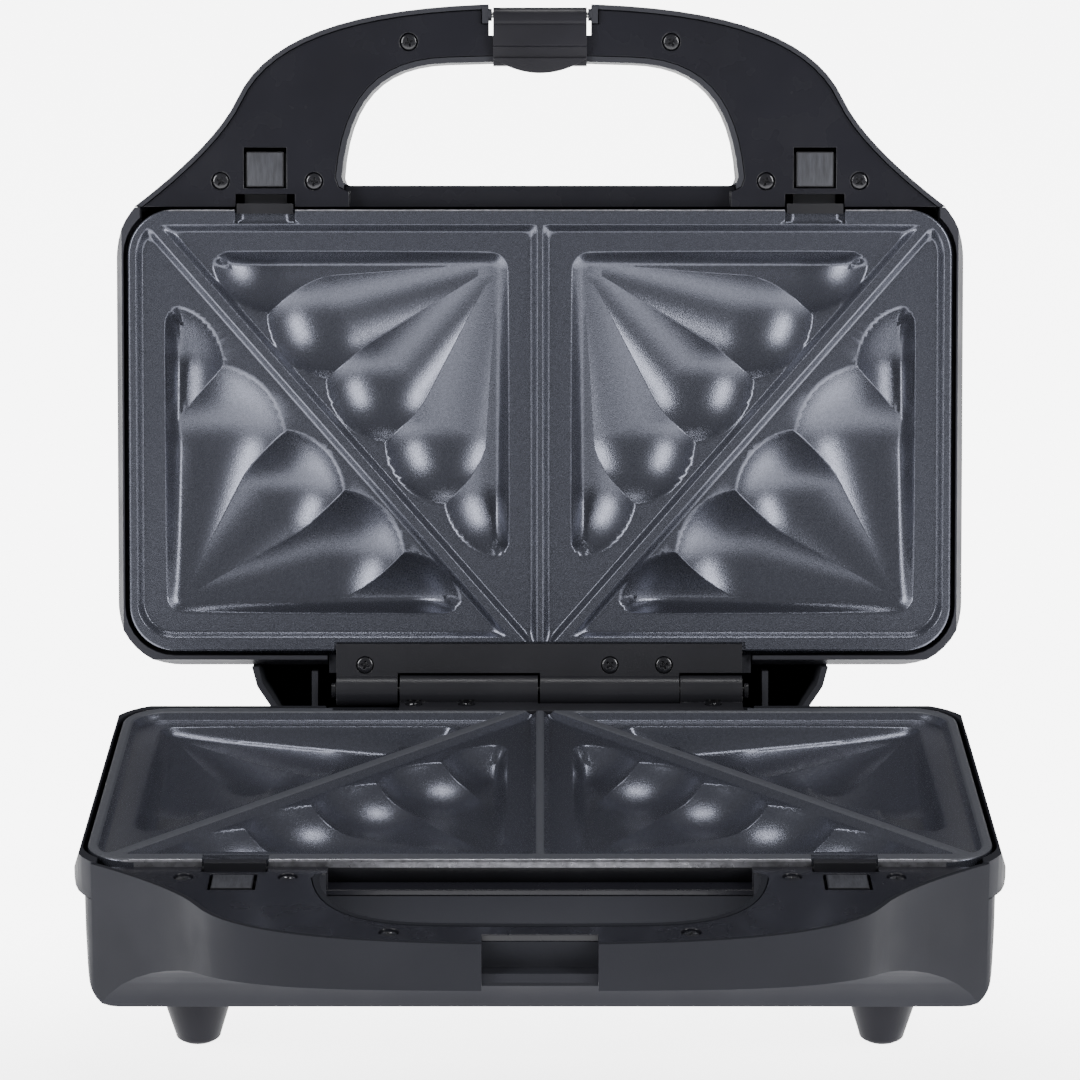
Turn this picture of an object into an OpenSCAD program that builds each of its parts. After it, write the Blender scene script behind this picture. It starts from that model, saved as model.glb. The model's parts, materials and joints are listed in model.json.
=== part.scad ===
// Sandwich toaster with two deep pocket plates, shown with its lid open.
// Millimetres. X to the right, Y to the back, Z up, the feet stand on zero.
// Each half is drawn with z as the distance from the closing plane, then put in place.

/* [Overall] */
// Width of each heating plate
plate_w = 270; // [268:0.5:272]
// Depth of each heating plate, front to back
plate_d = 145; // [144:0.5:147]
// Depth of the base below the closing plane
base_deep = 46; // [44:0.5:48]
// Height of the lid above the closing plane
lid_deep = 44; // [42:0.5:46]
// Height of the feet
foot_h = 19; // [17:0.5:22]
// Angle of the lid from closed
open_angle = 102.4; // [0:0.4:102.4]
// Place of the plates' front edge
front_y = -83.6; // [-85:0.1:-80]

/* [Housings] */
// Thickness of the moulded walls
wall = 2.5; // [2.2:0.1:2.8]
// Side margin between the plate edge and the bezel
plate_gap = 1.5; // [1.2:0.1:1.8]
// How far the bezel reaches past the plate edge
bezel_reach = 4.4; // [4:0.1:5]
// How far the handle reaches in front of the plates
handle_reach = 67; // [65:0.5:69]
// Depth of the handle at its front edge
handle_thick = 15.2; // [14.8:0.1:16.5]
// Half width of the hood behind the hinge
hood_half = 95.7; // [94:0.1:97]
// How far the hood reaches behind the plates
hood_reach = 24; // [23.6:0.1:25]

/* [Handle covers] */
// Level of the cover face below the closing plane
cover_level = 2.2; // [2:0.1:2.4]
// Thickness of the covers
cover_thick = 2; // [1.8:0.1:2.2]
// Clearance round the covers
cover_gap = 0.2; // [0.1:0.05:0.3]
// Width of the band round the handle
band = 1.5; // [1.3:0.1:1.7]
// Level of the recessed strip next to the plate
strip_level = 7; // [6.5:0.1:7.5]
// Half width of the recessed strip
strip_half = 62.5; // [61:0.5:63]

/* [Plates] */
// Gap from the plate rim to the closing plane
rim_gap = 0.25; // [0.2:0.05:0.4]
// Thickness of the plate casting
slab = 5.5; // [5.2:0.1:5.8]
// Height of the plate skirt
skirt_h = 8; // [7.8:0.1:8.1]
// Radius of the plate corners
plate_corner = 15; // [14:0.5:16]
// Depth of the sandwich cells below the rim
cell_deep = 2.5; // [2.3:0.1:2.7]
// Depth of the pockets below the cells
pocket_deep = 11; // [10:0.25:11.25]
// Thickness of the pocket walls
pocket_wall = 2.2; // [2:0.1:2.4]
// Width of the diagonal cutting rib
rib_w = 4.6; // [4.2:0.1:5]
// Angle at which the scoops of a pocket tilt
scoop = 12; // [11:0.25:14]
// Facets along each pocket lobe
lobe_steps = 10; // [6:2:12]

/* [Release clips] */
// Middle of the clips from the centre line
clip_x = 90; // [89:0.5:91]
// Length of the press pads
pad_l = 11.4; // [10.5:0.1:12]
// Width of the press pads
pad_w = 12.1; // [11.5:0.1:12.5]
// Clearance round the press pads
pad_gap = 0.9; // [0.7:0.1:1]
// Width of the tongues that hold the plates
tongue_w = 18.4; // [18:0.1:19]
// How far the tongues reach over the plate rim
tongue_l = 3; // [2.6:0.1:3.2]
// Radius of the clip pivot pins
clip_pin_r = 1; // [0.9:0.05:1.1]

/* [Hinge] */
// Hinge axis behind the plates
hinge_back = 13.1; // [13:0.1:13.6]
// Hinge axis above the closing plane
hinge_up = 1.35; // [1.2:0.05:1.5]
// Radius of the hinge barrel
barrel_r = 5; // [4.8:0.1:5.1]
// Radius of the hinge pin
hinge_pin_r = 1.5; // [1.4:0.05:1.7]
// Half length of the hinge barrel
barrel_half = 67; // [66:0.5:67.5]
// Thickness of the hinge leaves
leaf = 2.5; // [2.3:0.1:2.7]
// Gap between neighbouring knuckles
knuckle_gap = 0.7; // [0.5:0.1:0.9]
// Radial clearance of every pin in its hole
pin_gap = 0.05; // [0.03:0.01:0.08]

/* [Latch] */
// Width of the latch
latch_w = 30.6; // [30:0.1:31]
// Width of the notch that holds the latch
notch_w = 33.6; // [33.2:0.1:34]
// Length of the latch from its pivot
latch_l = 19.1; // [18.8:0.1:19.2]
// Thickness of the latch arm
latch_t = 2.3; // [2.1:0.1:2.4]
// Latch pivot in front of the plates
latch_yf = 63.4; // [63.3:0.1:63.6]
// Radius of the latch pin
latch_pin_r = 1; // [0.9:0.05:1.1]

/* [Feet] */
// Feet from the centre line
foot_x = 103.6; // [102:0.2:105]
// Front feet behind the plates' front edge
foot_front = 20; // [18:0.5:22]
// Rear feet ahead of the plates' rear edge
foot_rear = 10; // [9:0.5:12]
// Radius of the feet where they meet the base
foot_r = 11.75; // [11.5:0.05:12]
// Radius of the feet at the ground
foot_tip_r = 6.65; // [6.55:0.05:7]
// Radius of the rubber pads
pad_r = 5; // [4.8:0.05:5.1]

/* [Heating] */
// Radius of the heater tube
tube_r = 3.25; // [3.1:0.05:3.3]
// Distance between the legs of each heater
tube_span = 56; // [54:0.5:58]
// Level of the heater tubes from the closing plane
tube_level = 20.4; // [20.3:0.1:20.6]
// Thickness of the reflector sheet
sheet = 0.8; // [0.7:0.05:1]
// Level of the reflector floor from the closing plane
pan_level = 26; // [25.5:0.1:26.5]

/* [Fittings] */
// Radius of the opening in the cord gland
cord_r = 3.6; // [3.4:0.1:3.8]
// Cord gland from the centre line
cord_x = 46; // [44:0.5:48]
// Level of the cord gland from the closing plane
cord_level = 31; // [30:0.5:32]
// Radius of the screw heads
head_r = 2.8; // [2.6:0.05:2.9]
// Radius of the screw shanks
shank_r = 1.4; // [1.3:0.05:1.5]
// Radius of the lamp lenses
lens_r = 3.5; // [3.3:0.1:3.7]
// Distance between the lamp lenses
lens_span = 24; // [22:1:28]

/* [Hidden] */
// Half width of a plate
hw = plate_w / 2;
// Closing plane above the ground
rim_z = base_deep + foot_h;
// Place of the plates' rear edge
rear_y = front_y + plate_d;
// Place of the hinge axis
hinge_y = rear_y + hinge_back;
// Height of the hinge axis
hinge_z = rim_z + hinge_up;
// Half width of the housing walls
side = hw + 1;
// Rear face of the housings behind the plates
rear_off = 3;
// Seam between the bezel and the handle, in front of the plates
seam = 0.8;
// Level where the bezel stands on the housing wall
bezel_h = 12.5;
// Underside of the handle covers
cover_under = cover_level + cover_thick;
// Width of the band round the hand hole
hole_band = 1.8;
// Screw places in each handle cover
screw_xy = [[104.6, 9.3], [74, 9.2], [42.9, 54.6]];
// Pivot of the release clips in front of the plates
clip_yf = -1;
// Level of the clip pivots
clip_h = 12;
// Front end of the press pads
pad_yf = 7.4;
// Knuckles of the base half of the hinge
base_knuckles = [[-46.1, -0.7], [46.1, barrel_half - 0.5]];
// Knuckles of the lid half of the hinge
lid_knuckles = [[-barrel_half, -46.1 - knuckle_gap], [0, 46.1 - 0.3]];
// Level of the latch pivot
latch_level = 2.7;
// Radius of the latch hub
latch_hub = 2.4;
// Places of the hinge screws on the base leaf
base_leaf_screws = [-41.4, -24.1, 56.9];
// Places of the hinge screws on the lid leaf
lid_leaf_screws = [-57.6, 23, 40.8];
// Hinge screws of the base behind the plates
base_leaf_y = 7.3;
// Hinge screws of the lid behind the plates
lid_leaf_y = 4.6;
// Sideways places of the reflector posts
post_x = hw - 17;
// Places of the reflector posts behind the plates' front edge
pan_posts = [22, plate_d - 24];
// Smoothness of round parts
$fn = 40;

// Points along a curve with four control points
function bend(p, n) = [for (i = [0:n]) let (t = i / n, s = 1 - t)
  s * s * s * p[0] + 3 * s * s * t * p[1] + 3 * s * t * t * p[2] + t * t * t * p[3]];

// Points along an arc
function arc(c, r, a, b, n) = [for (i = [0:n]) let (t = a + (b - a) * i / n) c + r * [cos(t), sin(t)]];

// A list without its first point
function rest(p) = [for (i = [1:len(p) - 1]) p[i]];

// A closed outline from its right half
function both(p) = concat(p, [for (i = [len(p) - 1:-1:0]) if (p[i][0] > 0.01) [-p[i][0], p[i][1]]]);

// Inward direction of an edge
function inward(v) = [-v[1], v[0]] / norm(v);

// Outline moved inward by d, or outward when d is negative
function inset(p, d) = let (n = len(p)) [for (i = [0:n - 1]) let (
  a = inward(p[i] - p[(i + n - 1) % n]),
  b = inward(p[(i + 1) % n] - p[i]),
  m = (a + b) / norm(a + b)) p[i] + m * d / (m * a)];

// Points given in front of the plates, turned into x and y
function ahead(p) = [for (q = p) [q[0], front_y - q[1]]];

// Outline of a housing with its arched handle
housing_plan = ahead(both(concat(
  bend([[0, handle_reach], [55, handle_reach + 0.3], [88.5, handle_reach - 8.5], [99, 36]], 16),
  rest(bend([[99, 36], [104.9, 23.4], [hw - 13.5, 9.4], [hw - 2.3, 1]], 10)),
  rest(bend([[hw - 2.3, 1], [hw - 0.1, -0.7], [side, -7], [side, -17]], 5)),
  arc([side - 20, 20 - plate_d - rear_off], 20, 0, -90, 8),
  [[0, -plate_d - rear_off]])));

// Outline of the hand hole
hole_plan = ahead(both(concat(
  [[0, 48.3], [16, 48.1]],
  bend([[30, 47.7], [52, 47.2], [62.5, 36], [65, 10.6]], 12),
  [[64.4, 8.8], [62.6, 7.9], [0, 7.9]])));

// Outline of the bezel at its widest
bezel_plan = ahead(both(concat(
  [[0, 10.5]],
  arc([hw + bezel_reach - 28, -17.5], 28, 90, 0, 12),
  arc([hw + bezel_reach - 22, 22 - plate_d - bezel_reach - 0.8], 22, 0, -90, 10),
  [[0, -plate_d - bezel_reach - 0.8]])));

// Outline of a plate
plate_plan = ahead(both(concat(
  [[0, 0]],
  arc([hw - plate_corner, -plate_corner], plate_corner, 90, 0, 8),
  arc([hw - plate_corner, plate_corner - plate_d], plate_corner, 0, -90, 8),
  [[0, -plate_d]])));

// Outline of one lobed pocket with its apex at zero, its reaches and its straight edges given
function pocket_plan(rx, ry, ex, ey) = let (step = 22.5 / lobe_steps, n = 90 / step + 2) concat(
  [[-ex, 1.6 - ey], [0.7 - ex, 0.6 - ey], [2 - ex, -ey]],
  [for (i = [0:n]) let (
    f = -step + i * step,
    a = f - 22.5 * round(f / 22.5),
    b = f < 11.24 || f > 78.76 ? 0.035 : 0.085,
    r = (0.965 + b * cos(180 * a / 22.5)) / (cos(f) / rx + sin(f) / ry))
    [max(-ex, r * cos(f)), max(-ey, r * sin(f))]],
  [[-ex, 0.95 * ry]]);

// Side shape of a housing, y against depth
function side_shape(deep) = concat(
  [[front_y - handle_reach - 3, -3], [rear_y + rear_off + 0.1, -3]],
  arc([rear_y + rear_off - 8, deep - 8], 8.1, 0, 90, 6),
  [for (q = bend([[2, deep], [13, deep - 26], [50, handle_thick + 5.8],
    [handle_reach, handle_thick]], 14)) [front_y - q[0], q[1]]],
  [[front_y - handle_reach - 3, handle_thick - 0.9]]);

// Front shape of a housing, x against depth
function front_shape(deep) = both(concat(
  [[0, -3], [side + 0.3, -3], [side + 0.2, 14]],
  arc([side - 10.4, deep - 9], 9, 0, 90, 6),
  [[0, deep]]));

// Puts a half drawn from the closing plane into the base
module on_base() {
  translate([0, 0, rim_z])
    mirror([0, 0, 1])
      children();
}

// Puts a half drawn from the closing plane into the open lid
module on_lid() {
  translate([0, hinge_y, hinge_z])
    rotate([-open_angle, 0, 0])
      translate([0, -hinge_y, rim_z - hinge_z])
        children();
}

// Slab of an outline between two levels
module layer(shape, low, high) {
  translate([0, 0, low])
    linear_extrude(high - low)
      polygon(shape);
}

// Shape in y and z drawn out along x between two places
module along(shape, x0, x1) {
  translate([x0, 0, 0])
    rotate([90, 0, 90])
      linear_extrude(x1 - x0)
        polygon(shape);
}

// Box given by its corners, y counted forward from the plates' front edge
module fore(x0, x1, a, b, h0, h1) {
  translate([x0, front_y - b, h0])
    cube([x1 - x0, b - a, h1 - h0]);
}

// Box given by its corners, y counted backward from the plates' rear edge
module aft(x0, x1, a, b, h0, h1) {
  translate([x0, rear_y + a, h0])
    cube([x1 - x0, b - a, h1 - h0]);
}

// Round bar along x at a place in front of the plates
module bar(x0, x1, yf, h, r) {
  translate([x0, front_y - yf, h])
    rotate([0, 90, 0])
      cylinder(r = r, h = x1 - x0);
}

// Solid inside the outer faces of a housing, moved in by d
module block(deep, d) {
  intersection() {
    layer(inset(housing_plan, d), -2, deep + 1);
    along(inset(side_shape(deep), d), -160, 160);
    translate([0, 200, 0])
      rotate([90, 0, 0])
        linear_extrude(400)
          polygon(inset(front_shape(deep), d));
  }
}

// Places of the six cover screws
module at_cover_screws() {
  for (s = [-1, 1])
    for (p = screw_xy)
      translate([s * p[0], front_y - p[1], 0])
        children();
}

// Countersunk screw with a cross recess, pointing up from its head
module screw(long) {
  difference() {
    union() {
      cylinder(r = head_r, h = 1);
      translate([0, 0, 0.9])
        cylinder(r = shank_r, h = long);
    }
    for (a = [0, 90])
      rotate([0, 0, a])
        translate([-1.7, -0.4, -0.1])
          cube([3.4, 0.8, 0.8]);
  }
}

// Shell of either housing with its handle, hand hole and screw posts
module housing(deep, notch, ledge_level, ledge_back) {
  difference() {
    union() {
      difference() {
        block(deep, 0);
        block(deep, wall);
        layer(inset(housing_plan, band), -3, cover_under + 0.1);
      }
      intersection() {
        block(deep, 0);
        union() {
          layer(inset(hole_plan, -hole_band), 2, deep);
          at_cover_screws()
            translate([0, 0, cover_under + 1.1])
              cylinder(r = 3.6, h = deep);
          fore(-notch / 2 - 2, notch / 2 + 2, 54.7, 70, cover_under + 0.1, deep);
          for (s = [-1, 1]) {
            for (a = [-9, 9])
              fore(s * clip_x + a - 1, s * clip_x + a + 1, clip_yf - 2.5, clip_yf + 2.5, 9.4, deep);
            for (y = pan_posts)
              translate([s * post_x, front_y + y, pan_level + 0.02])
                cylinder(r = 4, h = deep);
          }
        }
      }
      aft(-69.5, 69.5, rear_off - wall, rear_off, ledge_level, bezel_h + 1);
      aft(-69.5, 69.5, rear_off - wall, ledge_back, ledge_level, ledge_level + 2.7);
      aft(-69.5, 69.5, rear_off - wall, min(ledge_back, 9.3), ledge_level, ledge_level + 7);
    }
    layer(hole_plan, -5, deep + 5);
    fore(-160, 160, -plate_d - 20, seam + 0.1, -5, ledge_level);
    fore(-160, 160, -plate_d + 1, seam + 0.1, -5, bezel_h);
    for (s = [-1, 1])
      fore(s * 115 - 45.4, s * 115 + 45.4, -plate_d - 30, seam + 0.1, -5, bezel_h);
    fore(-160, 160, seam, 100, -5, cover_level - 1);
    fore(-strip_half - 1.8, strip_half + 1.8, seam, 8, -5, strip_level + 1.8);
    fore(-notch / 2, notch / 2, 56.7, 80, -5, deep);
    at_cover_screws()
      translate([0, 0, -3])
        cylinder(r = shank_r + pin_gap, h = 19);
    for (s = [-1, 1]) {
      bar(s * clip_x - 12, s * clip_x + 12, clip_yf, clip_h, clip_pin_r + pin_gap);
      for (y = pan_posts)
        translate([s * post_x, front_y + y, 0])
          cylinder(r = shank_r + pin_gap, h = 36);
    }
  }
}

// Bead that rings the sides and the back of a plate
module bezel() {
  bulge = [[0, -1], [hw + 2, -1], [hw + 2, 0.6], [hw + 2.6, 3], [hw + 3.6, 5.6], [hw + 4.3, 8],
    [hw + 4.4, 10.4], [hw + 3.6, 12], [hw + 2.4, bezel_h], [0, bezel_h]];
  back = [[front_y - 40, -1], [rear_y + 2.8, -1], [rear_y + 2.8, 0.6], [rear_y + 3.4, 3], [rear_y + 4.4, 5.6],
    [rear_y + 5.1, 8], [rear_y + 5.2, 10.4], [rear_y + 4.4, 12], [rear_y + 3.2, bezel_h],
    [front_y - 40, bezel_h]];
  difference() {
    intersection() {
      layer(bezel_plan, 0.6, bezel_h);
      translate([0, 200, 0])
        rotate([90, 0, 0])
          linear_extrude(400)
            polygon(both(bulge));
      along(back, -160, 160);
    }
    layer(inset(plate_plan, -plate_gap), -1, 9.1);
    layer(inset(plate_plan, 4), -1, 20);
    fore(-160, 160, seam - 0.1, 60, -2, 20);
    fore(4 - hw, hw - 4, -20, 60, -2, 20);
    aft(-70, 70, -20, 20, -2, 20);
  }
}

// Glossy cover of a handle, with its windows
module cover(notch, ear) {
  pad0 = clip_x - pad_w / 2 - pad_gap;
  pad1 = clip_x + pad_w / 2 + pad_gap;
  difference() {
    union() {
      difference() {
        layer(inset(housing_plan, band + cover_gap), cover_level, cover_under);
        layer(inset(hole_plan, -hole_band - cover_gap), -1, 20);
        fore(-160, 160, -plate_d - 30, seam, -1, 20);
        fore(-strip_half, strip_half, -1, 8, -1, strip_level);
      }
      difference() {
        fore(-strip_half - 1.6, strip_half + 1.6, seam, 5.9, cover_level, strip_level + 1.6);
        fore(-strip_half, strip_half, -1, 9, -1, strip_level);
      }
      fore(-strip_half - 1.6, strip_half + 1.6, seam, 7.7, strip_level, strip_level + 1.6);
      at_cover_screws()
        translate([0, 0, cover_under - 0.5])
          cylinder(r = 3.8, h = 1.5);
    }
    for (s = [-1, 1]) {
      fore(min(s * pad0, s * pad1), max(s * pad0, s * pad1), pad_yf - 0.5, pad_yf + pad_l + 1.4, -1, 20);
      fore(s * clip_x - tongue_w / 2 - 0.5, s * clip_x + tongue_w / 2 + 0.5, 0, 5, -1, 20);
    }
    fore(-notch / 2, notch / 2, 56.7, 80, -1, 20);
    fore(-notch / 2 - ear, notch / 2 + ear, latch_yf - 3, 80, -1, 20);
    at_cover_screws()
      union() {
        translate([0, 0, -1])
          cylinder(r = shank_r + 0.2, h = 20);
        translate([0, 0, -1])
          cylinder(r = head_r + 0.2, h = cover_level + 2.35);
      }
  }
}

// Six screws that hold a handle cover
module cover_screws() {
  at_cover_screws()
    translate([0, 0, cover_level + 0.3])
      screw(11);
}

// Fan of five tapering scoops, cut to the lobed outline
module pocket(rx, ry, ex, ey, grow) {
  intersection() {
    layer(inset(pocket_plan(rx, ry, ex, ey), -grow), -0.2, pocket_deep + 6);
    union() {
      for (i = [0:4]) {
        f = 22.5 * i;
        reach = 1 / (cos(f) / rx + sin(f) / ry);
        fall = atan((pocket_deep - 1.9) / (reach + 2.2));
        rotate([0, 0, f])
          translate([-3, 0, -2])
            rotate([0, 90 + scoop, 0])
              cylinder(r1 = 4 + grow, r2 = 4 + grow + reach * 1.1 * tan(scoop + fall),
                h = reach * 1.1, $fn = 72);
      }
      layer([[-ex - grow, -ey - grow], [rx, -ey - grow], [rx, 8], [8, 8], [8, ry], [-ex - grow, ry]],
        -0.2, 2 + grow);
    }
  }
}

// The four pockets, apex at the inner front and outer rear of each cell
module pockets(grow) {
  level = rim_gap + cell_deep;
  for (s = [0, 1])
    mirror([s, 0, 0]) {
      translate([-15.3, front_y + 17.7, level])
        mirror([1, 0, 0])
          pocket(91, 97, 4.8, 3.6, grow);
      translate([-hw + 14.4, rear_y - 15.5, level])
        mirror([0, 1, 0])
          pocket(95, 98, 2.3, 3, grow);
    }
}

// Two triangular cells, each side of the diagonal rib
module cells() {
  x0 = -hw + 3.6;
  x1 = -2.3;
  y0 = front_y + 6;
  y1 = rear_y - 5;
  g = rib_w / 2;
  a = [-hw + 10.5, front_y + 7.5];
  b = [-7.7, rear_y - 4.3];
  n = [b[1] - a[1], a[0] - b[0]] / norm(b - a) * g;
  slope = (b[1] - a[1]) / (b[0] - a[0]);
  low = a + n;
  up = a - n;
  for (s = [0, 1])
    mirror([s, 0, 0]) {
      layer([[low[0] + (y0 - low[1]) / slope, y0], [x1, y0], [x1, y1 - 4],
        [low[0] + (y1 - 3 - low[1]) / slope + 1, y1 - 3]], rim_gap - 2, rim_gap + cell_deep);
      layer(concat([[x0, y0 + 3], [up[0] + (y0 + 2 - up[1]) / slope - 1, y0 + 2],
        [up[0] + (y1 - up[1]) / slope, y1]], arc([x0 + 10, y1 - 10], 10, 90, 180, 6)),
        rim_gap - 2, rim_gap + cell_deep);
    }
}

// Cast plate with cells, lobed pockets, skirt and catch notches
module plate() {
  difference() {
    union() {
      layer(plate_plan, rim_gap, rim_gap + slab);
      difference() {
        layer(plate_plan, rim_gap, rim_gap + skirt_h);
        layer(inset(plate_plan, 3), -1, rim_gap + skirt_h + 1);
      }
      pockets(pocket_wall);
    }
    cells();
    pockets(0);
    for (s = [-1, 1])
      fore(s * clip_x - tongue_w / 2 - 0.6, s * clip_x + tongue_w / 2 + 0.6, -4.6, 1, -1, 2.35);
    aft(-barrel_half - 1, barrel_half + 1, -3, 1, -1, 2);
  }
}

// Pressed reflector pan with a flange under the plate skirt
module reflector() {
  top = rim_gap + skirt_h + 0.05;
  difference() {
    union() {
      layer(inset(plate_plan, 1.5), top, top + sheet);
      difference() {
        layer(inset(plate_plan, 7), top, pan_level);
        layer(inset(plate_plan, 7 + sheet), top - 1, pan_level - sheet);
      }
    }
    layer(inset(plate_plan, 7 + sheet), top - 1, top + 1);
    for (s = [-1, 1]) {
      for (y = pan_posts)
        translate([s * post_x, front_y + y, pan_level - 5])
          cylinder(r = shank_r + 0.2, h = 10);
      fore(s * clip_x - 11, s * clip_x + 11, -6.5, 1, 0, 12);
      translate([0, front_y + plate_d / 2 + s * tube_span / 2, tube_level])
        rotate([0, 90, 0])
          cylinder(r = tube_r + 0.4, h = 200);
    }
  }
}

// Screws that hold a reflector to its posts
module pan_screws() {
  for (s = [-1, 1])
    for (y = pan_posts)
      translate([s * post_x, front_y + y, pan_level - sheet - 1])
        screw(9);
}

// Bent tube heater with a pin at each end
module element() {
  mid = front_y + plate_d / 2;
  for (s = [-1, 1]) {
    translate([-60, mid + s * tube_span / 2, tube_level])
      rotate([0, 90, 0])
        cylinder(r = tube_r, h = hw + 60 - 4);
    translate([hw - 4.5, mid + s * tube_span / 2, tube_level])
      rotate([0, 90, 0])
        cylinder(r = 1.2, h = 2.4);
  }
  translate([-60, mid, tube_level])
    rotate([0, 0, 90])
      rotate_extrude(angle = 180)
        translate([tube_span / 2, 0])
          circle(r = tube_r);
}

// Four saddles that hold a heater off its pan
module element_clips() {
  mid = front_y + plate_d / 2;
  for (x = [-40, 60])
    for (s = [-1, 1])
      translate([x, mid + s * tube_span / 2, tube_level])
        rotate([0, 90, 0])
          difference() {
            union() {
              cylinder(r = tube_r + 0.9, h = 8);
              translate([tube_level - pan_level + sheet + 0.02, -4.6, 0])
                cube([pan_level - sheet - tube_level, 9.2, 8]);
            }
            translate([0, 0, -1])
              cylinder(r = tube_r + pin_gap, h = 10);
          }
}

// Press pad, lever, hub and tongue of one release clip
module clip(s) {
  c = s * clip_x;
  difference() {
    union() {
      fore(c - pad_w / 2, c + pad_w / 2, pad_yf, pad_yf + pad_l, cover_level, 6.2);
      along([for (q = [[0.7, 4.6], [0.7, 9.4], [-1, 12], [0.5, 14], [5, 9.5], [18.4, 8], [18.4, 6],
        [1.9, 6], [1.9, 4.6]]) [front_y - q[0], q[1]]], c - 7, c + 7);
      bar(c - 7, c + 2, clip_yf, clip_h, 2.8);
      along([for (q = [[-tongue_l, 0.6], [-tongue_l, 2.05], [0.7, 2.05], [0.7, 5.2], [1.9, 5.2], [1.9, 0.6]])
        [front_y - q[0], q[1]]], c - tongue_w / 2, c + tongue_w / 2);
    }
    bar(c - 8, c + 8, clip_yf, clip_h, clip_pin_r + pin_gap);
    fore(c + 2, c + 8, clip_yf - 5, clip_yf + 3.4, clip_h - 4, clip_h + 4);
  }
}

// Pins on which the release clips rock
module clip_pins() {
  for (s = [-1, 1])
    bar(s * clip_x - 10.6, s * clip_x + 10.6, clip_yf, clip_h, clip_pin_r);
}

// Coil springs on the clip pins
module clip_springs() {
  for (s = [-1, 1]) {
    for (i = [0:3])
      translate([s * clip_x + 3 + i * 1.05, front_y - clip_yf, clip_h])
        rotate([0, 90, 0])
          rotate_extrude($fn = 24)
            translate([1.95, 0])
              circle(r = 0.45, $fn = 14);
    bar(s * clip_x + 2.9, s * clip_x + 6.3, clip_yf - 1.95, clip_h, 0.3);
  }
}

// Leaf with knuckles, screwed to one half
module hinge_leaf(x0, x1, level, back, axis, knuckles, screws, screw_y) {
  difference() {
    union() {
      aft(x0, x1, 0.3, back, level, level + leaf);
      aft(x0, x1, -2.4, 0.4, level > 1 ? 0.6 : level, 1.7);
      if (level > 1)
        aft(x0, x1, 0.3, 1.6, 0.6, level + 1);
      for (k = knuckles) {
        aft(k[0], k[1], 1, hinge_back, level, level + leaf);
        translate([k[0], hinge_y, axis])
          rotate([0, 90, 0])
            cylinder(r = barrel_r, h = k[1] - k[0]);
      }
    }
    translate([x0 - 5, hinge_y, axis])
      rotate([0, 90, 0])
        cylinder(r = hinge_pin_r + pin_gap, h = 200);
    for (x = screws)
      translate([x, rear_y + screw_y, level - 1]) {
        cylinder(r = shank_r + 0.15, h = 10);
        cylinder(r = head_r + 0.15, h = 2.1);
      }
  }
}

// Screws of one hinge leaf
module leaf_screws(level, screws, screw_y) {
  for (x = screws)
    translate([x, rear_y + screw_y, level + 0.05])
      screw(5.2);
}

module base_housing() {
  color([0.20, 0.20, 0.21])
    on_base()
      difference() {
        union() {
          housing(base_deep, notch_w - 0.6, 1.3 + leaf + 0.05, 11.4);
          fore(-17.5, 17.5, 58.5, 63.6, 11.3, 14);
          for (s = [-1, 1])
            for (y = [front_y + foot_front, rear_y - foot_rear])
              translate([s * foot_x, y, base_deep - wall - 2])
                cylinder(r = foot_r, h = wall + 2);
        }
        for (x = base_leaf_screws)
          translate([x, rear_y + base_leaf_y, 0])
            cylinder(r = shank_r + pin_gap, h = 9.4);
        aft(cord_x - cord_r - 2.45, cord_x + cord_r + 2.45, -5, 20, cord_level - cord_r - 2.45,
          base_deep + 1);
        for (i = [-4:4])
          translate([i * 14 - 2, front_y + 52, base_deep - wall - 1])
            cube([4, 40, 10]);
      }
}

module base_bezel() {
  color([0.17, 0.17, 0.18])
    on_base() {
      bezel();
      for (s = [-1, 1])
        aft(s * 91.7 - 3, s * 91.7 + 3, 3.4, 9.7, 5, 9);
    }
}

module base_handle_cover() {
  color([0.06, 0.06, 0.07])
    on_base()
      cover(notch_w - 0.6, 0);
}

module base_plate() {
  color([0.29, 0.31, 0.35])
    on_base()
      plate();
}

module base_reflector() {
  color([0.72, 0.72, 0.70])
    on_base()
      reflector();
}

module base_reflector_screws() {
  color([0.55, 0.55, 0.55])
    on_base()
      pan_screws();
}

module base_element() {
  color([0.45, 0.43, 0.40])
    on_base()
      element();
}

module base_element_clips() {
  color([0.66, 0.66, 0.66])
    on_base()
      element_clips();
}

module base_release_left() {
  color([0.16, 0.16, 0.17])
    on_base()
      clip(-1);
}

module base_release_right() {
  color([0.16, 0.16, 0.17])
    on_base()
      clip(1);
}

module base_release_pins() {
  color([0.7, 0.7, 0.7])
    on_base()
      clip_pins();
}

module base_release_springs() {
  color([0.62, 0.62, 0.62])
    on_base()
      clip_springs();
}

module base_hinge() {
  color([0.22, 0.22, 0.24])
    on_base()
      hinge_leaf(-46.1, barrel_half - 0.5, 1.3, 7.6, -hinge_up, base_knuckles, base_leaf_screws, base_leaf_y);
}

module base_hinge_screws() {
  color([0.55, 0.55, 0.55])
    on_base()
      leaf_screws(1.3, base_leaf_screws, base_leaf_y);
}

module base_cover_screws() {
  color([0.55, 0.55, 0.55])
    on_base()
      cover_screws();
}

module hinge_pin() {
  color([0.7, 0.7, 0.7])
    translate([-barrel_half - 1.6, hinge_y, hinge_z])
      rotate([0, 90, 0]) {
        cylinder(r = hinge_pin_r, h = 2 * barrel_half + 3.2);
        cylinder(r = hinge_pin_r + 1, h = 1.3);
        translate([0, 0, 2 * barrel_half + 1.9])
          cylinder(r = hinge_pin_r + 1, h = 1.3);
      }
}

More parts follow.
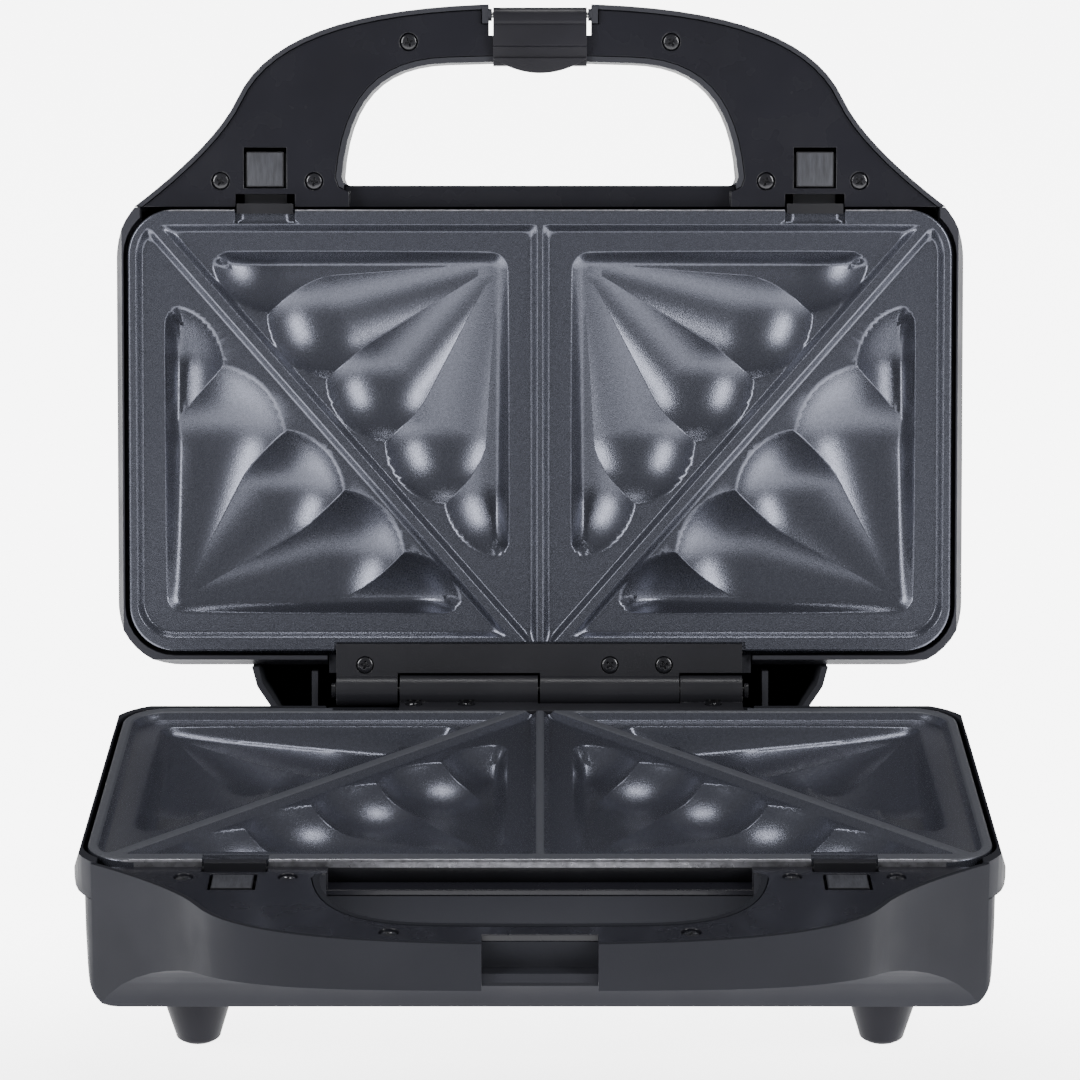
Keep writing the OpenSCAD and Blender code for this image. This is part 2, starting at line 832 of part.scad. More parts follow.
module cord_gland() {
  color([0.08, 0.08, 0.08])
    on_base()
      difference() {
        union() {
          intersection() {
            difference() {
              block(base_deep, 0);
              block(base_deep, wall);
            }
            aft(cord_x - cord_r - 2.4, cord_x + cord_r + 2.4, -4.95, 20, cord_level, base_deep + 1);
          }
          translate([cord_x, rear_y, cord_level])
            rotate([-90, 0, 0]) {
              translate([-cord_r - 2.4, -cord_r - 2.4, -2])
                cube([2 * cord_r + 4.8, 2 * cord_r + 4.8, 9]);
              translate([0, 0, rear_off])
                cylinder(r = cord_r + 5, h = 2.6);
              translate([0, 0, rear_off - wall - 2])
                cylinder(r = cord_r + 4.4, h = 1.9);
            }
        }
        translate([cord_x, rear_y - 8, cord_level])
          rotate([-90, 0, 0])
            cylinder(r = cord_r, h = 30);
      }
}

module terminal_block() {
  color([0.9, 0.88, 0.8])
    on_base()
      translate([14, rear_y - 40, 30])
        difference() {
          cube([34, 14, base_deep - wall - 30]);
          for (i = [0:2])
            translate([6 + 11 * i, 7, -1]) {
              cylinder(r = 2.2, h = 8);
              translate([0, 12, 6.5])
                rotate([90, 0, 0])
                  cylinder(r = 1.7, h = 24);
            }
        }
}

module thermostat() {
  color([0.75, 0.7, 0.6])
    on_base()
      translate([-40, front_y + 100, pan_level]) {
        cylinder(r = 9, h = 7);
        translate([-14, -4, 0])
          cube([28, 8, 1]);
        for (s = [-1, 1])
          translate([s * 5 - 0.4, -3, 6.5])
            cube([0.8, 6, 6]);
      }
}

module thermal_fuse() {
  color([0.85, 0.8, 0.7])
    on_base()
      translate([-20, front_y + 60, pan_level + 3.1])
        rotate([0, 90, 0]) {
          cylinder(r = 2, h = 14);
          translate([0, 0, -8])
            cylinder(r = 0.6, h = 30);
          translate([-1, -3, 4])
            cube([4.1, 6, 1.5]);
        }
}

// Lead that runs through the points given
module lead(points) {
  for (i = [1:len(points) - 1])
    hull() {
      translate(points[i - 1])
        sphere(r = 1.2, $fn = 10);
      translate(points[i])
        sphere(r = 1.2, $fn = 10);
    }
}

module wiring() {
  color([0.85, 0.85, 0.8])
    on_base() {
      for (i = [0:2])
        lead([[cord_x + 1.5 * i - 1.5, rear_y - 3, cord_level],
          [cord_x - 8 + 3 * i, rear_y - 14, cord_level + 3], [20 + 11 * i, rear_y - 20, 35.5],
          [20 + 11 * i, rear_y - 30, 35.5]]);
      lead([[20, rear_y - 37, 35.5], [20, rear_y - 42, 35.5], [14, rear_y - 46, 38],
        [-20, front_y + 96, 39], [-33.2, front_y + 100, 39]]);
      lead([[31, rear_y - 37, 35.5], [31, rear_y - 42, 35.5], [44, rear_y - 52, 38],
        [100, front_y + 76, 38], [128, front_y + 66, 34]]);
    }
}

module foot(x, y) {
  color([0.13, 0.13, 0.15])
    translate([x, y, 0])
      rotate_extrude($fn = 48)
        polygon(concat([[0, 2.5], [pad_r + 0.05, 2.5], [pad_r + 0.05, 0.5], [foot_tip_r - 1.4, 0.5]],
          arc([foot_tip_r - 1.2, 1.9], 1.4, -80, 0, 4),
          [[foot_r - 1.25, foot_h - 5], [foot_r, foot_h], [0, foot_h]]));
}

module foot_front_left() {
  foot(-foot_x, front_y + foot_front);
}

module foot_front_right() {
  foot(foot_x, front_y + foot_front);
}

module foot_rear_left() {
  foot(-foot_x, rear_y - foot_rear);
}

module foot_rear_right() {
  foot(foot_x, rear_y - foot_rear);
}

// Rubber pad under one foot
module foot_pad(x, y) {
  color([0.05, 0.05, 0.05])
    translate([x, y, 0])
      cylinder(r = pad_r, h = 2.45);
}

module pad_front_left() {
  foot_pad(-foot_x, front_y + foot_front);
}

module pad_front_right() {
  foot_pad(foot_x, front_y + foot_front);
}

module pad_rear_left() {
  foot_pad(-foot_x, rear_y - foot_rear);
}

module pad_rear_right() {
  foot_pad(foot_x, rear_y - foot_rear);
}

// Hood that closes the back of the lid behind the hinge
module hood() {
  taper = both(concat(
    [[0, rear_y - 9], [hood_half + 0.8, rear_y - 9], [hood_half - 0.5, rear_y + 4],
      [hood_half - 2.6, rear_y + 11.7], [hood_half - 7.5, rear_y + 19]],
    arc([hood_half - 14, rear_y + hood_reach - 6.5], 6.5, 20, 90, 4),
    [[0, rear_y + hood_reach]]));
  difference() {
    intersection() {
      layer(taper, 0.6, lid_deep);
      along(concat([[rear_y - 10, 0], [rear_y + hood_reach + 0.1, 0]],
        arc([rear_y + hood_reach - 8, lid_deep - 8], 8, 0, 90, 6), [[rear_y - 10, lid_deep]]), 15 - hw, hw - 15);
    }
    difference() {
      intersection() {
        layer(inset(taper, 2), -1, lid_deep - 2);
        along(concat([[rear_y + rear_off, -2], [rear_y + hood_reach - 2, -2]],
          arc([rear_y + hood_reach - 8, lid_deep - 8], 6, 0, 90, 6),
          [[rear_y + rear_off, lid_deep - 2]]), 15 - hw, hw - 15);
      }
      for (s = [-1, 1])
        aft(s * 74.3 - 1, s * 74.3 + 1, 7, hood_reach, 4, lid_deep);
    }
    aft(-hood_half + 2, hood_half - 2, -20, rear_off, -1, bezel_h);
    aft(15 - hw, hw - 15, -20, rear_off - 0.05, bezel_h, lid_deep - 12);
    aft(15 - hw, hw - 15, -20, bezel_reach + 0.9, -1, bezel_h);
    block(lid_deep, wall);
  }
}

module lid_housing() {
  color([0.20, 0.20, 0.21])
    on_lid()
      difference() {
        union() {
          housing(lid_deep, notch_w, 0.3 + leaf + 0.05, 7.4);
          hood();
          for (s = [-1, 1]) {
            bar(s * 16.4 - 0.7, s * 16.4 + 0.7, latch_yf, latch_level, 2);
            fore(s * (notch_w / 2 + 1.05) - 1.05, s * (notch_w / 2 + 1.05) + 1.05,
              latch_yf - 2.8, latch_yf + 2.6, 0.9, 8);
          }
        }
        for (x = lid_leaf_screws)
          translate([x, rear_y + lid_leaf_y, 0])
            cylinder(r = shank_r + pin_gap, h = 9);
        for (s = [-1, 1])
          translate([s * lens_span / 2, rear_y - 22, lid_deep - wall - 1])
            cylinder(r = lens_r + pin_gap, h = 10);
        bar(-20, 20, latch_yf, latch_level, latch_pin_r + pin_gap);
      }
}

module lid_bezel() {
  color([0.17, 0.17, 0.18])
    on_lid()
      bezel();
}

module lid_handle_cover() {
  color([0.06, 0.06, 0.07])
    on_lid()
      cover(notch_w, 2.3);
}

module lid_plate() {
  color([0.29, 0.31, 0.35])
    on_lid()
      plate();
}

module lid_reflector() {
  color([0.72, 0.72, 0.70])
    on_lid()
      reflector();
}

module lid_reflector_screws() {
  color([0.55, 0.55, 0.55])
    on_lid()
      pan_screws();
}

module lid_element() {
  color([0.45, 0.43, 0.40])
    on_lid()
      element();
}

module lid_element_clips() {
  color([0.66, 0.66, 0.66])
    on_lid()
      element_clips();
}

module lid_release_left() {
  color([0.16, 0.16, 0.17])
    on_lid()
      clip(-1);
}

module lid_release_right() {
  color([0.16, 0.16, 0.17])
    on_lid()
      clip(1);
}

module lid_release_pins() {
  color([0.7, 0.7, 0.7])
    on_lid()
      clip_pins();
}

module lid_release_springs() {
  color([0.62, 0.62, 0.62])
    on_lid()
      clip_springs();
}

module lid_hinge() {
  color([0.22, 0.22, 0.24])
    on_lid()
      hinge_leaf(-barrel_half, barrel_half - 0.5, 0.3, 7.2, hinge_up, lid_knuckles,
        lid_leaf_screws, lid_leaf_y);
}

module lid_hinge_screws() {
  color([0.55, 0.55, 0.55])
    on_lid()
      leaf_screws(0.3, lid_leaf_screws, lid_leaf_y);
}

module lid_cover_screws() {
  color([0.55, 0.55, 0.55])
    on_lid()
      cover_screws();
}

// Catch plate that folds over the handle and hooks under the bar of the base
module latch() {
  tip = latch_yf - latch_l;
  top = latch_level - latch_hub;
  color([0.10, 0.10, 0.11])
    on_lid()
      difference() {
        union() {
          bar(-latch_w / 2, latch_w / 2, latch_yf, latch_level, latch_hub);
          along([for (q = [[latch_yf + 1, -0.4], [tip + 0.6, -0.7], [tip, -0.2], [tip, 5.6], [tip + 2, 5.6],
            [tip + 2.4, latch_t - 0.7], [latch_yf - 3.4, latch_t - 0.7], [latch_yf - 1.6, latch_level + 1],
            [latch_yf + 1, latch_level]]) [front_y - q[0], q[1]]], -latch_w / 2, latch_w / 2);
        }
        bar(-20, 20, latch_yf, latch_level, latch_pin_r + pin_gap);
      }
}

module latch_pin() {
  color([0.7, 0.7, 0.7])
    on_lid()
      bar(-18.4, 18.4, latch_yf, latch_level, latch_pin_r);
}

// Lamp lens in the lid top
module lens(s) {
  translate([s * lens_span / 2, rear_y - 22, lid_deep - wall - 2]) {
    cylinder(r = lens_r, h = wall + 2.8);
    cylinder(r = lens_r + 1.2, h = 1.95);
  }
}

module lens_red() {
  color([0.7, 0.1, 0.08])
    on_lid()
      lens(-1);
}

module lens_green() {
  color([0.15, 0.55, 0.2])
    on_lid()
      lens(1);
}

module lamp_holder() {
  color([0.85, 0.85, 0.82])
    on_lid()
      translate([-lens_span / 2 - 8, rear_y - 30, pan_level + 2])
        difference() {
          cube([lens_span + 16, 16, lid_deep - wall - pan_level - 2.02]);
          for (x = [0, 1])
            translate([8 + x * lens_span, 8, 2])
              cylinder(r = lens_r + 1.4, h = 30);
        }
}

base_housing();
base_bezel();
base_handle_cover();
base_plate();
base_reflector();
base_reflector_screws();
base_element();
base_element_clips();
base_release_left();
base_release_right();
base_release_pins();
base_release_springs();
base_hinge();
base_hinge_screws();
base_cover_screws();
hinge_pin();
cord_gland();
terminal_block();
thermostat();
thermal_fuse();
wiring();
foot_front_left();
foot_front_right();
foot_rear_left();
foot_rear_right();
pad_front_left();
pad_front_right();
pad_rear_left();
pad_rear_right();
lid_housing();
lid_bezel();
lid_handle_cover();
lid_plate();
lid_reflector();
lid_reflector_screws();
lid_element();
lid_element_clips();
lid_release_left();
lid_release_right();
lid_release_pins();
lid_release_springs();
lid_hinge();
lid_hinge_screws();
lid_cover_screws();
latch();
latch_pin();
lens_red();
lens_green();
lamp_holder();
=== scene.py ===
import json
import math
import bmesh
import bpy
import numpy as np
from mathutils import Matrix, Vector
from mathutils.geometry import delaunay_2d_cdt

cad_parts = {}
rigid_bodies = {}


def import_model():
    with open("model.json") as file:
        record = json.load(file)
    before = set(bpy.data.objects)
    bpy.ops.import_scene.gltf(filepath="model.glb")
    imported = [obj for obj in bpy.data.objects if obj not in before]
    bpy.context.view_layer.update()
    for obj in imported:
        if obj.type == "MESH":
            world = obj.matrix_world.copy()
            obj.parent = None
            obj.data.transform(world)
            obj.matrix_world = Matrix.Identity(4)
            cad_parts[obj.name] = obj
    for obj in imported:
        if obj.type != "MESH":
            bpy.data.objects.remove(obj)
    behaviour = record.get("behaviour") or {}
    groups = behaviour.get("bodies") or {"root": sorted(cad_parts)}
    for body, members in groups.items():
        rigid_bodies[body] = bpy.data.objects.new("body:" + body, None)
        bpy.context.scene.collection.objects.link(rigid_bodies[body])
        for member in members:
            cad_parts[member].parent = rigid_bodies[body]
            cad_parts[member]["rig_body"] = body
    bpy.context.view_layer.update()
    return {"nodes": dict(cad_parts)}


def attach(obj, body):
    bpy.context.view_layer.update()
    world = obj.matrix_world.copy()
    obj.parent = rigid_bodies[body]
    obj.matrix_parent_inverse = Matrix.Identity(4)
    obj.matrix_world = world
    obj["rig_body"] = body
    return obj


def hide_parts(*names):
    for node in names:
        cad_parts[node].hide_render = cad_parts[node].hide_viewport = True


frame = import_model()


# Camera.
# A long lens that stands 1.3 m in front and half a metre up.
# It looks at the toaster at the photograph's viewing angle.
LENS_IN_PIXELS = 4436
SENSOR_MM = 36
camera = bpy.data.objects.new("camera", bpy.data.cameras.new("camera"))
camera.data.sensor_width = SENSOR_MM
camera.data.lens = SENSOR_MM * LENS_IN_PIXELS / 1080
camera.data.clip_start = 0.05
camera.data.clip_end = 50
camera.location = (0, -1.3177, 0.5137)
camera.rotation_euler = (math.radians(90 - 15.87), 0, 0)
bpy.context.scene.collection.objects.link(camera)
bpy.context.scene.camera = camera


# Floor and light.
# A pale floor that glows more towards the back, one soft light above and behind, and two tall
# ones at the sides.
FLOOR_HALF = 9
GLOW_FROM_Y, GLOW_TO_Y = -0.22, 0.05
GLOW_NEAR, GLOW_FAR = 2.2, 6.5


def shader(name):
    mat = bpy.data.materials.new(name)
    mat.use_nodes = True
    return mat, mat.node_tree.nodes, mat.node_tree.links, mat.node_tree.nodes["Principled BSDF"]


def ramp_node(tree, links, source, low, high, to_low, to_high):
    spread = tree.new("ShaderNodeMapRange")
    spread.inputs["From Min"].default_value = low
    spread.inputs["From Max"].default_value = high
    spread.inputs["To Min"].default_value = to_low
    spread.inputs["To Max"].default_value = to_high
    links.new(source, spread.inputs["Value"])
    return spread


floor_mesh = bpy.data.meshes.new("floor")
floor_mesh.from_pydata([(-FLOOR_HALF, -FLOOR_HALF, 0), (FLOOR_HALF, -FLOOR_HALF, 0),
                        (FLOOR_HALF, FLOOR_HALF, 0), (-FLOOR_HALF, FLOOR_HALF, 0)], [], [(0, 1, 2, 3)])
floor = bpy.data.objects.new("floor", floor_mesh)
bpy.context.scene.collection.objects.link(floor)
floor_mat, tree, links, bsdf = shader("floor")
bsdf.inputs["Base Color"].default_value = (0.9, 0.9, 0.9, 1)
bsdf.inputs["Roughness"].default_value = 0.7
bsdf.inputs["Emission Color"].default_value = (1, 1, 1, 1)
spot = tree.new("ShaderNodeSeparateXYZ")
links.new(tree.new("ShaderNodeTexCoord").outputs["Object"], spot.inputs["Vector"])
glow = ramp_node(tree, links, spot.outputs["Y"], GLOW_FROM_Y, GLOW_TO_Y, GLOW_NEAR, GLOW_FAR)
glow.interpolation_type = "SMOOTHSTEP"
links.new(glow.outputs["Result"], bsdf.inputs["Emission Strength"])
floor_mesh.materials.append(floor_mat)

world = bpy.data.worlds.new("studio")
bpy.context.scene.world = world
world.use_nodes = True
world.node_tree.nodes["Background"].inputs["Color"].default_value = (1, 1, 1, 1)
world.node_tree.nodes["Background"].inputs["Strength"].default_value = 0.26


def soft_light(name, place, aim, width, height, power):
    data = bpy.data.lights.new(name, "AREA")
    data.shape = "RECTANGLE"
    data.size = width
    data.size_y = height
    data.energy = power
    light = bpy.data.objects.new(name, data)
    light.location = place
    light.rotation_euler = (Vector(aim) - Vector(place)).to_track_quat("-Z", "Y").to_euler()
    bpy.context.scene.collection.objects.link(light)


soft_light("light_top", (0, 0.5, 2.2), (0, 0, 0.06), 0.7, 0.4, 14)
soft_light("light_left", (-1.5, -1.1, 1.1), (0, 0, 0.15), 0.6, 1.3, 42)
soft_light("light_right", (1.5, -1.1, 1.1), (0, 0, 0.15), 0.6, 1.3, 42)


# Shells.
# The two charcoal mouldings that carry everything, each in one piece with its arched handle.
# They are one satin plastic with small round edges, in two painted tones: the lid copy lighter as painted light, the
# base copy darker as painted shade.
nodes = frame["nodes"]
BUMP_DEPTH = 0.00012


def finish(name, colour, rough, grain, bump, spread=0.12, rough_spread=0.06, blotch=25, metal=0.0, coat=0.0,
           specular=0.5, stretch=(1, 1, 1)):
    mat, tree, links, bsdf = shader(name)
    scaled = tree.new("ShaderNodeMapping")
    scaled.inputs["Scale"].default_value = stretch
    links.new(tree.new("ShaderNodeTexCoord").outputs["Object"], scaled.inputs["Vector"])

    def noise(scale, detail=3.0):
        n = tree.new("ShaderNodeTexNoise")
        n.inputs["Scale"].default_value = scale
        n.inputs["Detail"].default_value = detail
        links.new(scaled.outputs["Vector"], n.inputs["Vector"])
        return n.outputs["Fac"]

    def spread_out(source, low, high):
        return ramp_node(tree, links, source, 0.3, 0.7, low, high).outputs["Result"]

    mix = tree.new("ShaderNodeMix")
    mix.data_type = "RGBA"
    mix.inputs["A"].default_value = (*[c * (1 - spread) for c in colour], 1)
    mix.inputs["B"].default_value = (*[min(1, c * (1 + spread)) for c in colour], 1)
    links.new(spread_out(noise(blotch), 0, 1), mix.inputs["Factor"])
    links.new(mix.outputs["Result"], bsdf.inputs["Base Color"])
    links.new(spread_out(noise(blotch * 2.3), rough - rough_spread, rough + rough_spread), bsdf.inputs["Roughness"])
    relief = tree.new("ShaderNodeBump")
    relief.inputs["Strength"].default_value = bump
    relief.inputs["Distance"].default_value = BUMP_DEPTH
    links.new(noise(grain, 4.0), relief.inputs["Height"])
    links.new(relief.outputs["Normal"], bsdf.inputs["Normal"])
    bsdf.inputs["Metallic"].default_value = metal
    bsdf.inputs["Coat Weight"].default_value = coat
    bsdf.inputs["Specular IOR Level"].default_value = specular
    return mat


def wear(look, *names):
    for name in names:
        nodes[name].data.materials.clear()
        nodes[name].data.materials.append(look)


def claim(obj, body, node):
    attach(obj, body)
    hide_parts(node)


def rounded(node, name, look, width):
    source = nodes[node]
    bm = bmesh.new()
    bm.from_mesh(source.data)
    bmesh.ops.remove_doubles(bm, verts=bm.verts, dist=3e-6)
    bmesh.ops.dissolve_degenerate(bm, edges=bm.edges, dist=3e-6)
    bmesh.ops.dissolve_limit(bm, verts=bm.verts, edges=bm.edges, angle_limit=math.radians(0.5))
    mesh = bpy.data.meshes.new(name)
    bm.to_mesh(mesh)
    bm.free()
    obj = bpy.data.objects.new(name, mesh)
    bpy.context.scene.collection.objects.link(obj)
    bevel = obj.modifiers.new("edges", "BEVEL")
    bevel.width = width
    bevel.segments = 2
    bevel.limit_method = "ANGLE"
    bevel.angle_limit = math.radians(34)
    bevel.use_clamp_overlap = True
    obj.modifiers.new("normals", "WEIGHTED_NORMAL").keep_sharp = True
    mesh.polygons.foreach_set("use_smooth", [True] * len(mesh.polygons))
    mesh.set_sharp_from_angle(angle=math.radians(40))
    bpy.context.view_layer.update()
    obj.data = bpy.data.meshes.new_from_object(obj.evaluated_get(bpy.context.evaluated_depsgraph_get()))
    obj.modifiers.clear()
    obj.data.materials.clear()
    obj.data.materials.append(look)
    claim(obj, source["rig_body"], node)
    return obj


# Painted light and shade: the lid shell is coloured lighter and the base shell darker, though both are the same
# plastic.
lid_shell_lit_look = finish("shell", (0.027, 0.0275, 0.0325), 0.55, 1800, 0.25, 0.08, specular=0.04)
base_shell_shaded_look = finish("fascia_painted_dark", (0.0158, 0.0163, 0.02), 0.58, 1800, 0.25, 0.08, specular=0.04)
wear(lid_shell_lit_look, "base_housing", "lid_housing")
rounded("base_housing", "base_shell", base_shell_shaded_look, 0.0004)
rounded("lid_housing", "lid_shell", lid_shell_lit_look, 0.0004)


# Feet.
# Four tapered plastic legs under the base shell, the front ones seen below the fascia.
# A rubber disc is pressed into the bottom of each.
foot_look = finish("foot", (0.0065, 0.0065, 0.009), 0.5, 1500, 0.25, 0.1, specular=0.06)
rubber_look = finish("rubber", (0.015, 0.015, 0.016), 0.75, 900, 0.5, 0.15, specular=0.2)
for corner in ("front_left", "front_right", "rear_left", "rear_right"):
    wear(foot_look, "foot_" + corner)
    wear(rubber_look, "pad_" + corner)
    rounded("foot_" + corner, "stand_" + corner, foot_look, 0.0004)


# Inlet and wiring.
# A rubber gland for the cord sits in the back wall, with a ceramic terminal block, thermostat and fuse inside.
# Sleeved leads join them.
ceramic_look = finish("ceramic", (0.75, 0.72, 0.66), 0.45, 900, 0.25, 0.06)
wear(rubber_look, "cord_gland")
wear(ceramic_look, "terminal_block", "thermostat", "thermal_fuse")
wear(finish("wire", (0.65, 0.64, 0.6), 0.6, 1200, 0.6, 0.1), "wiring")


# Pans and heaters.
# A pressed pan under each plate, steel in the base and aluminium in the lid, carries a bent tube heater.
# Bright steel clips hold the tube, and black screws hold the pan.
screw_look = finish("screw", (0.014, 0.014, 0.017), 0.22, 1200, 0.15, 0.2, metal=0.35, coat=0.2)
steel_look = finish("steel", (0.55, 0.55, 0.55), 0.28, 900, 0.2, 0.1, metal=1.0)
wear(finish("pan", (0.6, 0.6, 0.58), 0.3, 300, 0.2, 0.08, metal=1.0), "base_reflector")
wear(finish("light_pan", (0.7, 0.7, 0.7), 0.35, 300, 0.2, 0.08, metal=1.0), "lid_reflector")
wear(finish("tube", (0.22, 0.2, 0.19), 0.5, 700, 0.4, 0.25, metal=0.8), "base_element", "lid_element")
wear(steel_look, "base_element_clips", "lid_element_clips")
wear(screw_look, "base_reflector_screws", "lid_reflector_screws")


# Beads.
# A rounded plastic bead runs round the sides and back of each plate and hides the joint.
# It is clipped to the shell; the lid's is painted a shade lighter and the base's darker, as painted light and shade on
# one plastic.
# Painted light and shade: one plastic in a lighter lid copy and a darker base copy.
base_bead_shaded_look = finish("bead", (0.017, 0.0175, 0.0215), 0.58, 1800, 0.22, 0.08, specular=0.04)
lid_bead_lit_look = finish("lid_bead", (0.029, 0.0295, 0.035), 0.55, 1800, 0.22, 0.08, specular=0.04)
wear(base_bead_shaded_look, "base_bezel", "lid_bezel")
rounded("base_bezel", "base_bead", base_bead_shaded_look, 0.0003)
rounded("lid_bezel", "lid_bead", lid_bead_lit_look, 0.0003)


# Handle covers.
# The inner face of each handle is a separate glossy black moulding with the hand hole in it.
# Six screws hold it to the shell.
cover_look = finish("gloss", (0.009, 0.009, 0.0122), 0.26, 900, 0.06, 0.1, 0.05, coat=0.06, specular=0.26)
wear(cover_look, "base_handle_cover", "lid_handle_cover")
rounded("base_handle_cover", "base_cover", cover_look, 0.0003)
rounded("lid_handle_cover", "lid_cover", cover_look, 0.0003)


# Hinge.
# Two dark leaves with interleaved knuckles turn on one pin.
# Only the ends of the pin show, so it wears the same finish.
leaf_look = finish("leaf", (0.015, 0.015, 0.018), 0.34, 1500, 0.3, 0.15, specular=0.3)
wear(leaf_look, "base_hinge", "lid_hinge", "hinge_pin")
rounded("base_hinge", "base_leaf", leaf_look, 0.00025)
rounded("lid_hinge", "lid_leaf", leaf_look, 0.00025)


# Release clips.
# Four black plastic clips on steel pins and springs: a press pad in the handle, a tongue over the plate.
# The tongue is cut back to its true reach, and a brushed grey face lies on each pad.
FRONT_Y = -83.6
RIM_Z = 65.0
HINGE_Y = 74.5
HINGE_Z = 66.35
HINGE_DROP = 1.35
OPEN = math.radians(102.4)
TONGUE_FROM = -0.1561
TONGUE_CUT = 0.0016
PAD_OUTLINE = ((84.3, -18.5), (95.8, -18.5), (95.8, -7.7), (84.3, -7.7))
PAD_LOW, PAD_THICK = 2.15, 0.35
clip_look = finish("clip", (0.009, 0.009, 0.011), 0.4, 1400, 0.3, 0.2, specular=0.3)
press_look = finish("press", (0.031, 0.032, 0.038), 0.5, 1400, 0.5, 0.3, 0.1, 900, specular=0.3,
                    stretch=(1, 0.16, 0.16))


def base_point(x, u, h):
    return np.stack((x, FRONT_Y + u, RIM_Z - h), 1) / 1000


def lid_point(x, u, h):
    dy = FRONT_Y + u - HINGE_Y
    dz = h - HINGE_DROP
    return np.stack((x, HINGE_Y + dy * math.cos(OPEN) + dz * math.sin(OPEN),
                     HINGE_Z - dy * math.sin(OPEN) + dz * math.cos(OPEN)), 1) / 1000


def add_piece(name, verts, faces, body, node, look):
    mesh = bpy.data.meshes.new(name)
    mesh.from_pydata(verts, [], faces)
    mesh.materials.append(look)
    obj = bpy.data.objects.new(name, mesh)
    bpy.context.scene.collection.objects.link(obj)
    claim(obj, body, node)
    return obj


def smooth_outside(mesh, sharp_degrees):
    bm = bmesh.new()
    bm.from_mesh(mesh)
    bmesh.ops.recalc_face_normals(bm, faces=bm.faces)
    bm.to_mesh(mesh)
    bm.free()
    mesh.polygons.foreach_set("use_smooth", [True] * len(mesh.polygons))
    mesh.set_sharp_from_angle(angle=math.radians(sharp_degrees))


def moulded(name, blocks, edge, node, look, place):
    bm = bmesh.new()
    for outline, push in blocks:
        face = bm.faces.new([bm.verts.new(p) for p in outline])
        made = bmesh.ops.extrude_face_region(bm, geom=[face])["geom"]
        bmesh.ops.translate(bm, vec=push, verts=[v for v in made if isinstance(v, bmesh.types.BMVert)])
    bmesh.ops.recalc_face_normals(bm, faces=bm.faces)
    sharp = [e for e in bm.edges if e.calc_face_angle(0) > math.radians(30)]
    bmesh.ops.bevel(bm, geom=sharp, offset=edge, segments=3, profile=0.5, affect="EDGES", clamp_overlap=True,
                    material=-1)
    bm.verts.index_update()
    x, u, h = np.array([v.co[:] for v in bm.verts]).T
    faces = [[v.index for v in f.verts] for f in bm.faces]
    bm.free()
    obj = add_piece(name, place(x, u, h).tolist(), faces, nodes[node]["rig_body"], node, look)
    smooth_outside(obj.data, 35)


for side, place, lean in (("base", base_point, 0.0), ("lid", lid_point, OPEN)):
    wear(steel_look, side + "_release_pins", side + "_release_springs")
    inward = Vector((0, math.cos(lean), -math.sin(lean)))
    axis = Vector((0, HINGE_Y / 1000, HINGE_Z / 1000))
    for hand, s in (("left", -1), ("right", 1)):
        node = side + "_release_" + hand
        wear(clip_look, node)
        clip = rounded(node, side + "_clip_" + hand, clip_look, 0.0003)
        for v in clip.data.vertices:
            if inward.dot(v.co - axis) > TONGUE_FROM:
                v.co -= TONGUE_CUT * inward
        pad = [(s * x, u, PAD_LOW) for x, u in PAD_OUTLINE]
        moulded(side + "_pad_" + hand, [(pad, (0, 0, PAD_THICK))], 0.12, node, press_look, place)


# Plates.
# Two cast plates with a grey non-stick coat, each with four triangular pockets of five lobes.
# One depth formula shapes rim, ribs, cells and pockets, on points that lie along every edge of it.
PLATE_HALF = 135.0
PLATE_LONG = 145.0
CORNER_R = 15
CORNER_X = 120
CORNER_BACK = 130
SIDE_LINE = 132.5
BACK_LINE = 140.9
BACK_R = 12
NOSE_R = 12.5
FRONT_LINE = 5
SPINE_HALF = 0.75
RIB_HALF = 1.3
RIM_LEVEL = 0.25
CELL_DROP = 2.5
CELL_WALL = 2.3
POCKET_WALL = 4.8
EDGE_R = 0.9
APEX_R = 5.6
END_R = 5.5
START_W, START_DEPTH = 8.5, 2.4
LOBE_DEPTH, END_DEPTH = 10.2, 9.4
NOTCH = (80.2, 99.8, 0, 4.6)
BACK_NOTCH = (0, 67.6, 142, PLATE_LONG)
RIB_A = np.array((124.5, 7.5))
RIB_B = np.array((7.7, 140.7))
RIB_N = np.array((RIB_A[1] - RIB_B[1], RIB_B[0] - RIB_A[0])) / np.linalg.norm(RIB_B - RIB_A)


def make_pocket(px, pu, way, ex, ey, cusps, ends, bow):
    def end_circle(reach, along, across):
        w = ((reach - along) ** 2 + across ** 2) / (2 * (reach - along))
        return reach - w, w

    c, w = end_circle(ends[0], cusps[0][0], cusps[0][1] + ey)
    lobes = [(c, -ey, w, END_DEPTH)]
    for (x0, y0), (x1, y1) in zip(cusps, cusps[1:]):
        half = math.hypot(x1 - x0, y1 - y0) / 2
        w = (half * half + bow * bow) / (2 * bow)
        lobes.append(((x0 + x1) / 2 - (y1 - y0) / (2 * half) * (w - bow),
                      (y0 + y1) / 2 + (x1 - x0) / (2 * half) * (w - bow), w, LOBE_DEPTH))
    c, w = end_circle(ends[1], cusps[3][1], cusps[3][0] + ex)
    lobes.append((-ex, c, w, END_DEPTH))
    return px, pu, way, (APEX_R - ex, APEX_R - ey), cusps, lobes, ex, ey


FRONT_CUSPS = ((74.0, 16.6), (54.8, 38.0), (35.5, 58.6), (15.9, 79.1))
BACK_CUSPS = ((75.9, 16.8), (56.2, 37.3), (36.9, 56.9), (16.6, 78.1))
POCKETS = (make_pocket(15.3, 17.7, 1, 4.8, 3.6, FRONT_CUSPS, (92.5, 97.0), 5.6),
           make_pocket(120.6, 129.5, -1, 2.3, 3.0, BACK_CUSPS, (95.0, 98.0), 5.0))


def soft_min(a, b, k):
    m = np.clip(0.5 + 0.5 * (b - a) / k, 0, 1)
    return b * (1 - m) + a * m - k * m * (1 - m)


